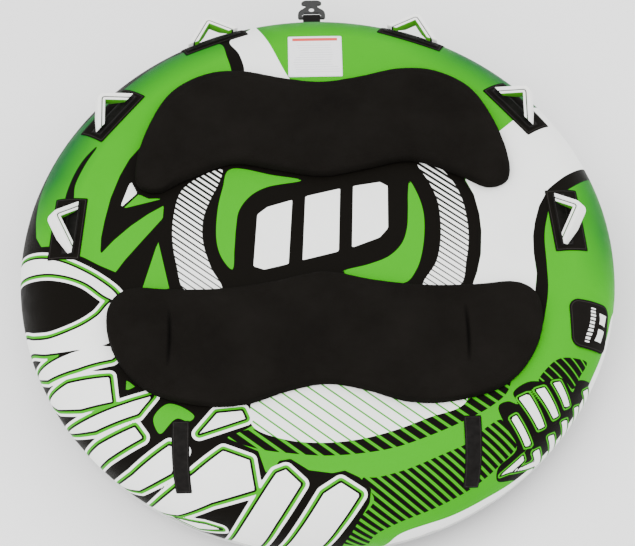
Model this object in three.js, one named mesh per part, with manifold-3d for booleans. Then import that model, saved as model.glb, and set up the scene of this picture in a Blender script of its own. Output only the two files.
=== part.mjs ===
// A round deck tube for water sports: an air-filled ring inside a sewn cover with a flat deck, two
// riding pads, six foam grip handles, a valve under a flap, a rear zipper and a tow strap with a hook.
// Millimetres, +Z up, +Y towards the tow rope. The origin is the centre of the flat underside.
import * as THREE from 'three';
import { mergeVertices } from 'three/addons/utils/BufferGeometryUtils.js';
import Module from 'manifold-3d';

const wasm = await Module();
wasm.setup();

// ---------------------------------------------------------------- driving dimensions
const OUTER_RADIUS = 910; // to the outside of the inflated ring
const RING_RADIUS = 175; // of the ring's round section
const COVER_WALL = 1.6;
const BLADDER_SLACK = 5.4; // between the cover's inside and the bladder
const BLADDER_WALL = 1.2;
const SEAM_ANGLE = -20; // degrees below the ring's equator
const SEAM_HALF_GAP = 0.6; // each cover panel stops this far from the seam line
const WELT_RADIUS = 4;
const GAP = 0.35; // between pieces that touch
const SEWN_LIFT = 0.6; // of a sewn-on piece over the round of the cover

const PAD_HEIGHT = 34;
const PAD_EDGE = 10; // rounding of a pad's rim
const PAD_SKIN = 4;
const FRONT_PAD_SHIFT = 20; // of a pad's own centreline from the tube's
const REAR_PAD_SHIFT = 15;

const GUARD_DEPTH = 100;
const GUARD_WIDTH = 216;
const GUARD_THICK = 1.8;
const BASE_WEB_DEPTH = 38;
const BASE_WEB_WIDTH = 184;
const WEB_THICK = 2.2;
const HANDLE_INSET = 12; // of the handle's pivot line from the guard's middle, towards the deck
const HANDLE_HALF_SPAN = 50; // of the finger gap, at the pivot line
const HANDLE_RISE = 46; // of the finger gap
const FOAM_WIDTH = 42;
const LINING_THICK = 8; // green foam against the fingers
const FOAM_THICK = 12.2; // white foam outside the webbing
const PIVOT_LIFT = 9; // of the handle's pivot line over the cover
const TILT_DOWN = 6; // degrees that a handle swings each way from where it stands
const TILT_UP = 46;

const STRAP_WIDTH = 50;
const STRAP_LENGTH = 209;
const LABEL_WIDTH = 172;
const LABEL_DEPTH = 162;
const LABEL_THICK = 0.5;
const LABEL_GAP = 32; // from the front pad
const LABEL_SHIFT = 6; // from the tube's centreline
const STRAP_GAP = 40.5; // from the rear pad's rearmost edge
const STRAP_SPREAD = 411; // of each strap from the pair's own centreline
const STRAP_SHIFT = 13; // of that centreline from the tube's

const VALVE_PAST = 130; // from the ring's crown outwards, over the cover
const VALVE_AZIMUTH = -19.6;
const FLAP_WIDTH = 150;
const FLAP_DEPTH = 138;
const FLAP_THICK = 1.6;
const FLAP_SLOPE = 32; // over which the flap comes down from the cap
const HEM_DEPTH = 12;
const TAPE_DEPTH = 20;
const TAPE_THICK = 1.1;
const VALVE_FLANGE_RADIUS = 34;
const VALVE_NECK_RADIUS = 17;
const VALVE_SPIGOT_RADIUS = 13;
const VALVE_BORE_RADIUS = 9;
const VALVE_PORT_MARGIN = 4; // from the flange to the hole in the cover
const CAP_RADIUS = 16;
const CAP_HEIGHT = 3.4;
const CAP_LIFT = 2.5; // that one turn of the cap gives
const CAP_CLEARANCE = 1; // over the raised cap

const ZIP_ANGLE = -48; // degrees below the ring's equator
const ZIP_START = -123; // azimuth in degrees
const ZIP_SPAN = 66;
const ZIP_TAPE_DEPTH = 32;
const ZIP_MOUTH = 5;
const ZIP_TAPE_THICK = 1.4;
const SLIDER_WIDTH = 12;
const SLIDER_LENGTH = 15;
const SLIDER_HEIGHT = 5;
const SLIDER_REST = 1.5; // degrees of azimuth from the tape's end
const LUG_WIDTH = 3; // of the slider's lug, between the pull's cheeks
const GROMMET_RADIUS = 9;
const GROMMET_BORE = 4.5;

const TOW_WEB_WIDTH = 58;
const TOW_WEB_THICK = 2.6;
const TOW_PIVOT_LIFT = 4.5;
const TOW_REACH = 60; // from the tow strap's pivot to the hook's bar
const HOOK_THICK = 10;
const HOOK_BAR = 11;
const HOOK_WIDTH = 92;
const HOOK_EYE_REACH = 33; // from the middle of the hook's bar
const HOOK_EYE_RADIUS = 9.5;
const HOOK_SLOT_DEPTH = 18; // from the middle of the bar to the slot's far side
const NECK_HALF = 19;
const EAR_HALF = 34;
const HOOK_EDGE = 1.5; // bevel of the hook's rim

// ---------------------------------------------------------------- worked-out places
const RING_CENTRE = OUTER_RADIUS - RING_RADIUS;
const DECK_HEIGHT = 2 * RING_RADIUS;
const LATHE_SEGMENTS = 48;
const CELL = 20; // longest grid cell of a piece that follows the cover
const rad = THREE.MathUtils.degToRad;

// Distance over the cover from the deck's middle to an angle on the ring (90 is its top).
const reachAt = (angle) => RING_CENTRE + rad(90 - angle) * RING_RADIUS;
const polar = (reach, azimuth) => [reach * Math.cos(rad(azimuth)), reach * Math.sin(rad(azimuth))];

// The cover laid out flat is a plan whose distances from the middle run over the deck and down the ring.
// This gives the axes at a point of that plan: x outwards, y anticlockwise, z away from the cover.
function frameOn([x, y], lift = 0) {
  const reach = Math.hypot(x, y);
  const azimuth = Math.atan2(y, x);
  const past = Math.max(0, (reach - RING_CENTRE) / RING_RADIUS);
  const outwards = new THREE.Vector3(Math.cos(azimuth), Math.sin(azimuth), 0);
  const around = new THREE.Vector3(-Math.sin(azimuth), Math.cos(azimuth), 0);
  const normal = outwards.clone().multiplyScalar(Math.sin(past));
  normal.z = Math.cos(past);
  const along = around.clone().cross(normal);
  const place = outwards.clone().multiplyScalar(Math.min(reach, RING_CENTRE));
  place.z = RING_RADIUS;
  place.addScaledVector(normal, RING_RADIUS + lift);
  return new THREE.Matrix4().makeBasis(along, around, normal).setPosition(place);
}

const onCover = (plan, lift) => new THREE.Vector3().setFromMatrixPosition(frameOn(plan, lift));

// ---------------------------------------------------------------- solids
function toSolid(geometry) {
  const bare = geometry.index ? geometry.toNonIndexed() : geometry.clone();
  bare.deleteAttribute('normal');
  bare.deleteAttribute('uv');
  const merged = mergeVertices(bare, 1e-4);
  const vertProperties = new Float32Array(merged.attributes.position.array);
  const triVerts = new Uint32Array(merged.index.array);
  return new wasm.Manifold(new wasm.Mesh({ numProp: 3, vertProperties, triVerts }));
}

function fromSolid(solid) {
  const mesh = solid.getMesh();
  const geometry = new THREE.BufferGeometry();
  geometry.setAttribute('position', new THREE.BufferAttribute(mesh.vertProperties, 3));
  geometry.setIndex(Array.from(mesh.triVerts));
  geometry.computeVertexNormals();
  return geometry;
}

const minus = (geometry, ...tools) => {
  const cut = tools.reduce((solid, tool) => solid.subtract(toSolid(tool)), toSolid(geometry));
  return fromSolid(cut);
};

// A closed body on a grid; point(u, v, over) gives its corners, over being 0 underneath and 1 on top.
function slab(columns, rows, point) {
  const vertices = [];
  for (const over of [0, 1]) {
    for (let j = 0; j <= rows; j += 1) {
      for (let i = 0; i <= columns; i += 1) vertices.push(...point(i / columns, j / rows, over));
    }
  }
  const at = (i, j, over) => (over * (rows + 1) + j) * (columns + 1) + i;
  const faces = [];
  const quad = (a, b, c, d) => faces.push(a, b, c, a, c, d);
  for (let j = 0; j < rows; j += 1) {
    for (let i = 0; i < columns; i += 1) {
      quad(at(i, j, 1), at(i + 1, j, 1), at(i + 1, j + 1, 1), at(i, j + 1, 1));
      quad(at(i, j, 0), at(i, j + 1, 0), at(i + 1, j + 1, 0), at(i + 1, j, 0));
    }
  }
  for (let i = 0; i < columns; i += 1) {
    quad(at(i, 0, 0), at(i + 1, 0, 0), at(i + 1, 0, 1), at(i, 0, 1));
    quad(at(i + 1, rows, 0), at(i, rows, 0), at(i, rows, 1), at(i + 1, rows, 1));
  }
  for (let j = 0; j < rows; j += 1) {
    quad(at(0, j + 1, 0), at(0, j, 0), at(0, j, 1), at(0, j + 1, 1));
    quad(at(columns, j, 0), at(columns, j + 1, 0), at(columns, j + 1, 1), at(columns, j, 1));
  }
  const geometry = new THREE.BufferGeometry();
  geometry.setAttribute('position', new THREE.Float32BufferAttribute(vertices, 3));
  geometry.setIndex(faces);
  geometry.computeVertexNormals();
  return geometry;
}

// A thin piece that follows the cover: depth runs along turn (degrees) in the flat plan, width across it.
// rise(across, along) lifts it further, by the distances from its middle.
function panel({ centre, turn, depth, width, thick, lift = SEWN_LIFT, corner = 0, rise = () => 0 }) {
  const along = [Math.cos(rad(turn)), Math.sin(rad(turn))];
  const across = [-along[1], along[0]];
  const isEdge = (t) => t === 0 || t === 1;
  return slab(Math.ceil(depth / CELL), Math.ceil(width / CELL), (u, v, over) => {
    const cut = isEdge(u) && isEdge(v) ? corner : 0;
    const a = (u - 0.5) * (depth - 2 * cut);
    const b = (v - 0.5) * (width - 2 * cut);
    const plan = [
      centre[0] + along[0] * a + across[0] * b,
      centre[1] + along[1] * a + across[1] * b,
    ];
    return onCover(plan, lift + rise(b, a) + over * thick);
  });
}

// A body turned about the Z axis from [radius, height] pairs.
function turned(profile, segments = LATHE_SEGMENTS) {
  const points = profile.map(([radius, height]) => new THREE.Vector2(radius, height));
  return new THREE.LatheGeometry(points, segments).rotateX(Math.PI / 2);
}

const closed = (profile) => [...profile, profile[0]];

function extruded(points, depth, options = {}) {
  const shape = new THREE.Shape(points.map(([x, y]) => new THREE.Vector2(x, y)));
  for (const hole of options.holes ?? []) {
    shape.holes.push(new THREE.Path(hole.map(([x, y]) => new THREE.Vector2(x, y))));
  }
  return new THREE.ExtrudeGeometry(shape, { depth, bevelEnabled: false, ...options.bevel });
}

const arc = (centre, radius, from, to, steps) => Array.from({ length: steps + 1 }, (_, k) => {
  const angle = rad(from + ((to - from) * k) / steps);
  return [centre[0] + radius * Math.cos(angle), centre[1] + radius * Math.sin(angle)];
});

// ---------------------------------------------------------------- assembly helpers
const tube = new THREE.Group();

const FINISH = {
  print: { color: 0x69be42, roughness: 0.55, metalness: 0 },
  nylon: { color: 0x1d1b1a, roughness: 0.7, metalness: 0 },
  vinyl: { color: 0x2b2d31, roughness: 0.45, metalness: 0 },
  neoprene: { color: 0x161311, roughness: 0.85, metalness: 0 },
  foam: { color: 0xf2f2f0, roughness: 0.8, metalness: 0 },
  lining: { color: 0x7cc43c, roughness: 0.8, metalness: 0 },
  padding: { color: 0x8c8c8c, roughness: 0.9, metalness: 0 },
  webbing: { color: 0x171614, roughness: 0.75, metalness: 0 },
  label: { color: 0xf6f6f4, roughness: 0.4, metalness: 0 },
  plastic: { color: 0x151515, roughness: 0.4, metalness: 0 },
  brass: { color: 0xb08d57, roughness: 0.35, metalness: 1 },
  aluminium: { color: 0xc9ccd0, roughness: 0.3, metalness: 1 },
};

function add(name, geometry, finish, parent = tube) {
  const mesh = new THREE.Mesh(geometry, new THREE.MeshStandardMaterial(FINISH[finish]));
  mesh.name = name;
  parent.add(mesh);
}

function groupAt(matrix) {
  const group = new THREE.Group();
  group.applyMatrix4(matrix);
  tube.add(group);
  return group;
}

// ---------------------------------------------------------------- valve, which the cover leaves room for
const VALVE_PLACE = polar(RING_CENTRE + VALVE_PAST, VALVE_AZIMUTH);
const BLADDER_RADIUS = RING_RADIUS - COVER_WALL - BLADDER_SLACK;
const VALVE_SEAT = BLADDER_RADIUS - RING_RADIUS; // height of the bladder from the cover's outside
const FLANGE_THICK = 1.8;
const SPIGOT_DEPTH = 15;
const NECK_TOP = VALVE_SEAT + 6;
const SEAL_THICK = 1;
const PORT_LENGTH = 40;

// A cylinder along the normal at a place on the cover, for cutting a hole there.
function drill(place, radius, length) {
  const cylinder = new THREE.CylinderGeometry(radius, radius, length, 24).rotateX(Math.PI / 2);
  return cylinder.applyMatrix4(frameOn(place));
}

function addValve() {
  const valve = groupAt(frameOn(VALVE_PLACE));
  const seat = VALVE_SEAT + GAP;
  const base = turned(closed([
    [VALVE_BORE_RADIUS, seat - SPIGOT_DEPTH],
    [VALVE_SPIGOT_RADIUS, seat - SPIGOT_DEPTH],
    [VALVE_SPIGOT_RADIUS, seat],
    [VALVE_FLANGE_RADIUS, seat],
    [VALVE_FLANGE_RADIUS, seat + FLANGE_THICK],
    [VALVE_NECK_RADIUS, seat + FLANGE_THICK],
    [VALVE_NECK_RADIUS, NECK_TOP],
    [VALVE_BORE_RADIUS, NECK_TOP],
  ]), 24);
  add('valve_base', base, 'plastic', valve);
  const sealFoot = NECK_TOP + GAP;
  const sealTop = sealFoot + SEAL_THICK;
  const seal = turned(closed([
    [VALVE_BORE_RADIUS + 1, sealFoot],
    [CAP_RADIUS - 1, sealFoot],
    [CAP_RADIUS - 1, sealTop],
    [VALVE_BORE_RADIUS + 1, sealTop],
  ]), 24);
  add('valve_cap_seal', seal, 'vinyl', valve);
  const capFoot = sealTop + GAP;
  const ridge = new THREE.BoxGeometry(2 * CAP_RADIUS - 6, 4, 2);
  ridge.translate(0, 0, capFoot + CAP_HEIGHT + 0.6);
  const disc = turned([
    [0, capFoot],
    [CAP_RADIUS, capFoot],
    [CAP_RADIUS, capFoot + CAP_HEIGHT - 1],
    [CAP_RADIUS - 1, capFoot + CAP_HEIGHT],
    [0, capFoot + CAP_HEIGHT],
  ], 24);
  add('valve_cap', fromSolid(toSolid(disc).add(toSolid(ridge))), 'plastic', valve);
  return capFoot + CAP_HEIGHT + 1.6;
}

// ---------------------------------------------------------------- zipper, which the cover is slit for
const ZIP_REACH = reachAt(ZIP_ANGLE);

// A strip round the ring at the zipper, by azimuth in degrees.
function zipStrip(depth, start, span, columns, low, high) {
  return slab(2, columns, (u, v, over) => {
    const reach = ZIP_REACH + (u - 0.5) * depth;
    return onCover(polar(reach, start + v * span), over ? high : low);
  });
}

function addZipper() {
  const tapeTop = SEWN_LIFT + ZIP_TAPE_THICK;
  const sliderFoot = tapeTop + GAP;
  const tape = zipStrip(ZIP_TAPE_DEPTH, ZIP_START, ZIP_SPAN, 40, SEWN_LIFT, tapeTop);
  add('zipper_tape', tape, 'nylon');
  const slider = groupAt(frameOn(polar(ZIP_REACH, ZIP_START + SLIDER_REST)));
  const body = new THREE.BoxGeometry(SLIDER_WIDTH, SLIDER_LENGTH, SLIDER_HEIGHT);
  body.translate(0, 0, sliderFoot + SLIDER_HEIGHT / 2);
  const pivotHeight = sliderFoot + SLIDER_HEIGHT + 3;
  const lug = new THREE.BoxGeometry(4, LUG_WIDTH, 6).translate(0, 0, pivotHeight - 1);
  add('zipper_slider', fromSolid(toSolid(body).add(toSolid(lug))), 'plastic', slider);
  // The pull is a fork over the slider's lug, and hangs straight down.
  const cheek = LUG_WIDTH / 2 + GAP;
  const pull = extruded([
    [-2, cheek], [-2, 4.5], [22, 5.5], [26, 3.5], [26, -3.5], [22, -5.5], [-2, -4.5], [-2, -cheek],
    [5, -cheek], [5, cheek],
  ].reverse(), 2).translate(0, 0, -1);
  const hanging = new THREE.Matrix4().makeRotationY(rad(ZIP_ANGLE));
  hanging.setPosition(0, 0, pivotHeight);
  add('zipper_pull', pull.applyMatrix4(hanging), 'webbing', slider);
}

// ---------------------------------------------------------------- cover, bladder and fittings in them
const GROMMETS = [45, 135, -147, -33].map((azimuth) => polar(reachAt(-62), azimuth));

function ringPoint(angle, radius) {
  const turn = rad(angle);
  return [RING_CENTRE + radius * Math.cos(turn), RING_RADIUS + radius * Math.sin(turn)];
}

// The section of one cover panel, from the axis to the seam and back.
function coverSection(from, to, steps) {
  const ring = (radius) => Array.from({ length: steps + 1 }, (_, k) => (
    ringPoint(from + ((to - from) * k) / steps, radius)));
  const outer = ring(RING_RADIUS);
  const inner = ring(RING_RADIUS - COVER_WALL);
  return [[0, outer[0][1]], ...outer, ...inner.reverse(), [0, inner[steps][1]]];
}

function addCover() {
  const seamStop = THREE.MathUtils.radToDeg(SEAM_HALF_GAP / RING_RADIUS);
  const top = turned(coverSection(90, SEAM_ANGLE + seamStop, 10).reverse());
  const port = drill(VALVE_PLACE, VALVE_FLANGE_RADIUS + VALVE_PORT_MARGIN, PORT_LENGTH);
  add('cover_top', minus(top, port), 'print');
  const bottom = turned(coverSection(-90, SEAM_ANGLE - seamStop, 7));
  const mouth = zipStrip(ZIP_MOUTH, ZIP_START + 2, ZIP_SPAN - 4, 33, -8, 2);
  const drains = GROMMETS.map((place) => drill(place, GROMMET_BORE + 2, 12));
  add('cover_bottom', minus(bottom, mouth, ...drains), 'nylon');
  const weltCentre = ringPoint(SEAM_ANGLE, RING_RADIUS + GAP + WELT_RADIUS);
  const welt = turned(closed(arc(weltCentre, WELT_RADIUS, 0, -300, 5)).reverse());
  add('seam_welt', welt, 'webbing');
}

function addBladder() {
  const section = (radius) => {
    const ring = arc([RING_CENTRE, RING_RADIUS], radius, 0, 330, 11);
    return turned(closed(ring), 36);
  };
  const spigotHole = drill(VALVE_PLACE, VALVE_SPIGOT_RADIUS + GAP, PORT_LENGTH);
  const shell = minus(section(BLADDER_RADIUS), section(BLADDER_RADIUS - BLADDER_WALL), spigotHole);
  add('air_bladder', shell, 'vinyl');
}

function addGrommets() {
  const under = -COVER_WALL - 1;
  const eyelet = turned(closed([
    [GROMMET_BORE, under],
    [GROMMET_BORE + 1.4, under],
    [GROMMET_BORE + 1.4, SEWN_LIFT],
    [GROMMET_RADIUS, SEWN_LIFT],
    [GROMMET_RADIUS - 1, SEWN_LIFT + 1.2],
    [GROMMET_BORE, SEWN_LIFT + 1.2],
  ]), 12);
  GROMMETS.forEach((place, index) => {
    add(`drain_grommet_${index + 1}`, eyelet.clone().applyMatrix4(frameOn(place)), 'brass');
  });
}

// ---------------------------------------------------------------- valve flap
function addFlap(capTop) {
  const [x, y] = VALVE_PLACE;
  const tapeFoot = SEWN_LIFT;
  const loopFoot = tapeFoot + TAPE_THICK + GAP;
  const flapFoot = loopFoot + TAPE_THICK + GAP;
  const crown = capTop + CAP_LIFT + CAP_CLEARANCE - flapFoot;
  const flatRadius = CAP_RADIUS + 6;
  const fadeRadius = flatRadius + FLAP_SLOPE;
  const rise = (across, along) => {
    const t = (Math.hypot(across, along) - flatRadius) / (fadeRadius - flatRadius);
    return crown * (0.5 + 0.5 * Math.cos(Math.PI * THREE.MathUtils.clamp(t, 0, 1)));
  };
  const common = { turn: 0, thick: TAPE_THICK, width: FLAP_WIDTH - 30 };
  const tapePlace = [x + FLAP_DEPTH / 2 - TAPE_DEPTH / 2 - 2, y];
  const size = { width: FLAP_WIDTH, thick: FLAP_THICK, turn: 0 };
  add('flap_hem', panel({ ...size, centre: [x - FLAP_DEPTH / 2 - HEM_DEPTH / 2 - 2, y],
    depth: HEM_DEPTH }), 'nylon');
  add('flap_hook_tape', panel({ ...common, centre: tapePlace, depth: TAPE_DEPTH,
    lift: tapeFoot }), 'webbing');
  add('flap_loop_tape', panel({ ...common, centre: tapePlace, depth: TAPE_DEPTH,
    lift: loopFoot }), 'webbing');
  add('valve_flap', panel({ ...size, centre: VALVE_PLACE, depth: FLAP_DEPTH, lift: flapFoot,
    corner: 8, rise }), 'neoprene');
}

// ---------------------------------------------------------------- riding pads
// Half outlines of the pads, from the middle of the front edge round to the middle of the rear edge:
// distance from the pad's own centreline, then distance towards the tow rope.
const FRONT_PAD = [[0, 569], [110, 585], [254, 617], [362, 606], [469, 540], [537, 417], [572, 276],
  [563, 192], [503, 168], [415, 213], [276, 268], [130, 242], [0, 219]];
const REAR_PAD = [[0, -118], [148, -149], [288, -169], [430, -171], [572, -166], [627, -210],
  [636, -292], [598, -404], [512, -499], [354, -548], [227, -546], [114, -508], [0, -486]];

function padOutline(half, shift, inset) {
  const left = half.slice(1, -1).reverse().map(([x, y]) => [-x, y]);
  const knots = [...half, ...left].map(([x, y]) => new THREE.Vector3(x + shift, y, 0));
  const loop = new THREE.CatmullRomCurve3(knots, true, 'centripetal');
  const count = 48;
  return Array.from({ length: count }, (_, k) => {
    const point = loop.getPointAt(k / count);
    const tangent = loop.getTangentAt(k / count);
    // The outline runs clockwise, so its inside is on the right of its tangent.
    return [point.x + tangent.y * inset, point.y - tangent.x * inset];
  });
}

function padBlock(half, shift, inset, foot, top) {
  const outline = padOutline(half, shift, inset + PAD_EDGE);
  const bevel = { bevelEnabled: true, bevelThickness: PAD_EDGE, bevelSize: PAD_EDGE, bevelSegments: 2 };
  return extruded(outline, top - foot - 2 * PAD_EDGE, { bevel }).translate(0, 0, foot + PAD_EDGE);
}

function addPad(name, half, shift) {
  const foot = DECK_HEIGHT + GAP;
  const top = foot + PAD_HEIGHT;
  const skin = minus(
    padBlock(half, shift, 0, foot, top),
    padBlock(half, shift, PAD_SKIN, foot - 2 * PAD_EDGE, top - PAD_SKIN),
  );
  add(`${name}_skin`, skin, 'neoprene');
  const core = padBlock(half, shift, PAD_SKIN + 2 * GAP, foot, top - PAD_SKIN - 2 * GAP);
  add(`${name}_core`, core, 'padding');
}

// ---------------------------------------------------------------- grip handles
// Each row is a pair: azimuth from the side, how far the guard's middle lies past the ring's crown, how
// far the arch stands off the cover in degrees, and how far its elbow leans towards the tow rope.
const HANDLE_ROWS = [
  { row: 'side', azimuth: 4.2, past: 18, lean: 36, skew: 12 },
  { row: 'mid', azimuth: 37.1, past: 62, lean: 40, skew: 6 },
  { row: 'front', azimuth: 67.7, past: 125, lean: 46, skew: 4 },
];

// One layer of the arch, between two distances from the edge of the finger gap, cut off by trim.
// Here x is the way the arch points, y runs along the pivot line and z across the foam.
function archLayer(near, far, width, skew, trim) {
  const apex = [HANDLE_RISE, skew];
  const overrun = 1.9; // the legs run on past the pivot line, to be cut off
  const footOf = (side) => [
    HANDLE_RISE * (1 - overrun),
    skew + (side * HANDLE_HALF_SPAN - skew) * overrun,
  ];
  const normalOf = (side) => THREE.MathUtils.radToDeg(
    Math.atan2(side * HANDLE_RISE, HANDLE_HALF_SPAN - side * skew));
  const footAt = (side, distance) => {
    const foot = footOf(side);
    const turn = rad(normalOf(side));
    return [foot[0] + distance * Math.cos(turn), foot[1] + distance * Math.sin(turn)];
  };
  const edge = (distance) => {
    const bend = distance > 0 ? arc(apex, distance, normalOf(1), normalOf(-1), 5) : [apex];
    return [footAt(1, distance), ...bend, footAt(-1, distance)];
  };
  const outline = [...edge(far), ...edge(near).reverse()];
  const layer = extruded(outline, width).translate(0, 0, -width / 2);
  return fromSolid(toSolid(layer).intersect(trim));
}

// What is left of the arch once it clears the webbing under it over its whole swing.
function swingTrim(lean, clearance) {
  const floor = clearance - PIVOT_LIFT;
  const low = rad(lean - TILT_DOWN);
  const high = rad(lean + TILT_UP);
  const half = FOAM_WIDTH / 2 + 1;
  const reachOf = (across, angle) => (floor - across * Math.cos(angle)) / Math.sin(angle);
  const slope = Math.cos(low) / Math.sin(low) - Math.cos(high) / Math.sin(high);
  const meet = (floor / Math.sin(low) - floor / Math.sin(high)) / slope;
  const far = HANDLE_RISE * 3;
  const outline = [
    [reachOf(-half, low), -half], [far, -half], [far, half],
    [reachOf(half, high), half], [reachOf(meet, high), meet],
  ];
  const length = 6 * HANDLE_HALF_SPAN;
  return toSolid(extruded(outline, length).translate(0, 0, -length / 2).rotateX(Math.PI / 2));
}

function addHandle(name, azimuth, reach, lean, skew) {
  const sewn = { turn: azimuth };
  add(`${name}_guard`, panel({ ...sewn, centre: polar(reach, azimuth), depth: GUARD_DEPTH,
    width: GUARD_WIDTH, thick: GUARD_THICK, corner: 3 }), 'neoprene');
  const pivotPlace = polar(reach - HANDLE_INSET, azimuth);
  const webFoot = SEWN_LIFT + GUARD_THICK + GAP + 0.15;
  add(`${name}_base_web`, panel({ ...sewn, centre: pivotPlace, depth: BASE_WEB_DEPTH,
    width: BASE_WEB_WIDTH, thick: WEB_THICK, lift: webFoot }), 'webbing');
  const pivot = groupAt(frameOn(pivotPlace, PIVOT_LIFT));
  const arch = new THREE.Group();
  arch.rotation.y = -rad(lean);
  pivot.add(arch);
  const webTop = webFoot + WEB_THICK;
  const foamTrim = swingTrim(lean, webTop + 3 * GAP);
  const webTrim = swingTrim(lean, webTop + 2 * GAP);
  const webNear = LINING_THICK + GAP;
  const foamNear = webNear + WEB_THICK + GAP;
  const layers = [
    ['lining', 0, LINING_THICK, FOAM_WIDTH, foamTrim, 'lining'],
    ['core_web', webNear, webNear + WEB_THICK, BASE_WEB_DEPTH, webTrim, 'webbing'],
    ['foam', foamNear, foamNear + FOAM_THICK, FOAM_WIDTH, foamTrim, 'foam'],
  ];
  for (const [part, near, far, width, trim, finish] of layers) {
    add(`${name}_${part}`, archLayer(near, far, width, skew, trim), finish, arch);
  }
}

function addHandles() {
  for (const { row, azimuth, past, lean, skew } of HANDLE_ROWS) {
    const reach = RING_CENTRE + past;
    addHandle(`${row}_right`, azimuth, reach, lean, skew);
    addHandle(`${row}_left`, 180 - azimuth, reach, lean, -skew);
  }
}

// ---------------------------------------------------------------- straps, label and tow gear
function addStraps() {
  const strap = { turn: -90, depth: STRAP_LENGTH, width: STRAP_WIDTH, thick: WEB_THICK };
  const padRear = Math.min(...REAR_PAD.map(([, y]) => y));
  const strapMiddle = padRear - STRAP_GAP - STRAP_LENGTH / 2;
  for (const [side, x] of [['right', STRAP_SHIFT + STRAP_SPREAD], ['left', STRAP_SHIFT - STRAP_SPREAD]]) {
    add(`rear_strap_${side}`, panel({ ...strap, centre: [x, strapMiddle] }), 'webbing');
  }
  const padFront = FRONT_PAD[0][1];
  const labelMiddle = padFront + LABEL_GAP + LABEL_DEPTH / 2;
  add('care_label', panel({ centre: [LABEL_SHIFT, labelMiddle], turn: 90,
    depth: LABEL_DEPTH, width: LABEL_WIDTH, thick: LABEL_THICK }), 'label');
}

function addTowStrap() {
  const band = (name, from, to) => {
    const depth = reachAt(to) - reachAt(from);
    add(name, panel({ centre: [0, reachAt((from + to) / 2)], turn: 90, depth,
      width: TOW_WEB_WIDTH, thick: TOW_WEB_THICK }), 'webbing');
  };
  band('tow_web_upper', 27, 2);
  band('tow_web_lower', -2, SEAM_ANGLE + 4);
}

// The loop of webbing from the pivot at the cover to the hook's bar, as a section of x outwards, y up.
function addTowLoop() {
  const inner = HOOK_BAR * 0.75; // clears the corners of the square bar
  const outer = inner + TOW_WEB_THICK;
  const bar = [TOW_REACH, 0];
  const waist = [TOW_REACH * 0.55, TOW_WEB_THICK + 1.4];
  const root = [3, TOW_WEB_THICK];
  const outline = [[root[0], -root[1]], [waist[0], -waist[1]], ...arc(bar, outer, -90, 90, 8),
    waist, root];
  const eye = [[TOW_REACH * 0.62, 0], ...arc(bar, inner, -110, 110, 8)];
  const loop = extruded(outline, TOW_WEB_WIDTH, { holes: [eye] });
  loop.translate(0, 0, -TOW_WEB_WIDTH / 2).rotateX(Math.PI / 2);
  const start = frameOn([0, reachAt(0)], TOW_PIVOT_LIFT);
  // The frame there points its z forwards and its x down, so the section's x goes to z.
  const turn = new THREE.Matrix4().makeRotationY(-Math.PI / 2);
  add('tow_webbing', loop.applyMatrix4(turn), 'webbing', groupAt(start));
}

// A flat hook: a bar for the webbing, a round eye, and a head with two ears for the rope's loop.
function addHook() {
  const half = HOOK_WIDTH / 2;
  const barEdge = HOOK_BAR / 2;
  const slotHalf = TOW_WEB_WIDTH / 2 + 3;
  const side = [
    [half - 5, -barEdge], [half, -barEdge + 5], [half, 10],
    ...arc([half - 26, 12], 26, 0, 68, 4),
    [NECK_HALF + 2, 43], [NECK_HALF, 51], [EAR_HALF - 3, 54], [EAR_HALF, 58], [EAR_HALF, 63],
    [EAR_HALF - 6, 69], [NECK_HALF, 72],
  ];
  const outline = [...side, ...side.map(([x, y]) => [-x, y]).reverse()];
  const slot = [[-slotHalf, barEdge], [slotHalf, barEdge], [slotHalf, HOOK_SLOT_DEPTH - 6],
    [slotHalf - 6, HOOK_SLOT_DEPTH], [-slotHalf + 6, HOOK_SLOT_DEPTH], [-slotHalf, HOOK_SLOT_DEPTH - 6]];
  const eye = arc([0, HOOK_EYE_REACH], HOOK_EYE_RADIUS, 0, 345, 23);
  const bevel = { bevelEnabled: true, bevelThickness: HOOK_EDGE, bevelSize: HOOK_EDGE,
    bevelOffset: -HOOK_EDGE, bevelSegments: 1 };
  const plate = extruded(outline, HOOK_THICK - 2 * HOOK_EDGE, { holes: [slot, eye], bevel });
  plate.translate(0, 0, -HOOK_THICK / 2 + HOOK_EDGE);
  const bar = new THREE.Matrix4().makeTranslation(0, OUTER_RADIUS + TOW_PIVOT_LIFT + TOW_REACH,
    RING_RADIUS);
  add('tow_hook', plate, 'aluminium', groupAt(bar));
}

addCover();
addBladder();
addGrommets();
addFlap(addValve());
addZipper();
addPad('front_pad', FRONT_PAD, FRONT_PAD_SHIFT);
addPad('rear_pad', REAR_PAD, REAR_PAD_SHIFT);
addHandles();
addStraps();
addTowStrap();
addTowLoop();
addHook();

export default tube;
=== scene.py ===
"""Round towable deck tube: printed cover over an air ring, two riding pads, six grip handles and a tow strap.

Lengths are metres. The cover is drawn on a flat plan: a plan point lies on the flat deck out to
RING_CENTRE from the middle, and past that it runs down round the ring.
"""
import math

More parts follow.
